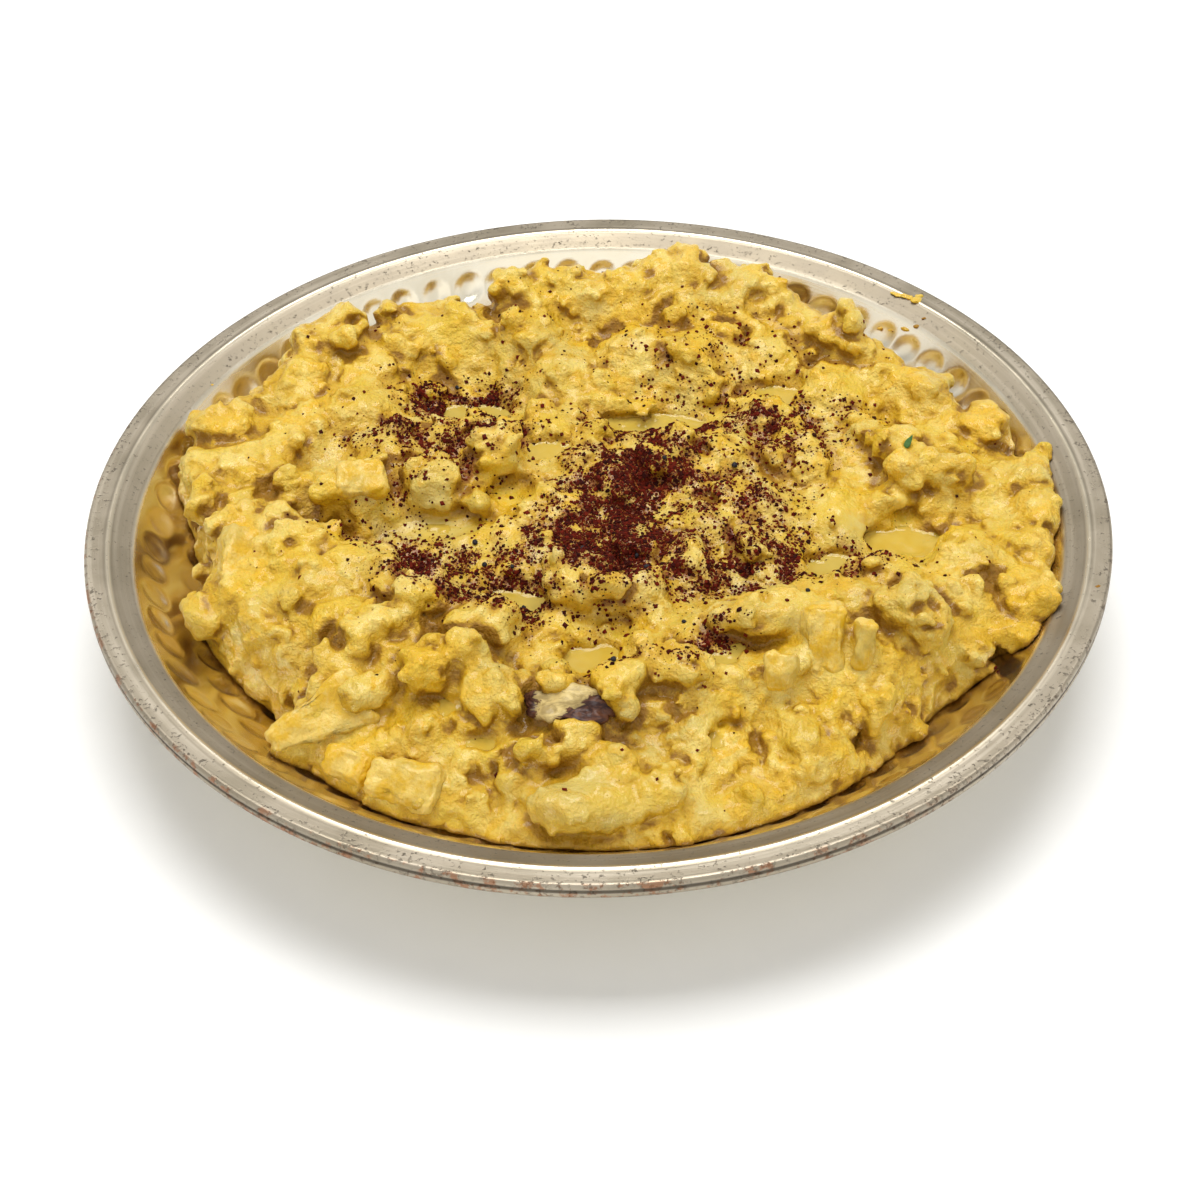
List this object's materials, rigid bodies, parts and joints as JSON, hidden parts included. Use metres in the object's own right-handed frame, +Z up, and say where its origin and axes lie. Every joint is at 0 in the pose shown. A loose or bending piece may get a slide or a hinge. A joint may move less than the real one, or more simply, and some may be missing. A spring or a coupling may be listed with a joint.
{
  "type": "baba ganoush in a dish",
  "caption": "Chunky aubergine dip heaped in a shallow hammered metal dish with a flat rim, dusted with dark red sumac; stands on its flat foot.",
  "frame": {"origin": "middle of the dish's flat foot, on the surface it stands on", "axes": "+Z up along the dish's axis; +Y towards the back of the heap, where it is highest; +X to the right"},
  "size_m": [0.2, 0.2, 0.0392],
  "materials": {
    "metal": "old tinned copper: warm grey, hammered wall, turned rim with dark pits and copper showing at the edge",
    "dip": "creamy pale yellow aubergine dip, lumpy, moist satin surface",
    "flesh": "yellow cooked aubergine flesh, soft and moist",
    "skin": "dark purple-brown charred aubergine skin",
    "sumac": "dark red ground sumac, coarse flakes",
    "pepper": "crushed black pepper",
    "oil": "thin clear yellow olive oil in the hollows",
    "herb": "small shred of green herb"
  },
  "bodies": {
    "root": {"dish": "metal", "dip": "dip", "aubergine_skin": "skin", "chunk_wedge": "flesh", "chunk_tip": "flesh", "chunk_strip": "flesh", "chunk_slab": "flesh", "chunk_upright": "flesh", "chunk_pale": "flesh", "chunk_corner": "flesh", "chunk_block": "flesh"}
  },
  "joints": []
}
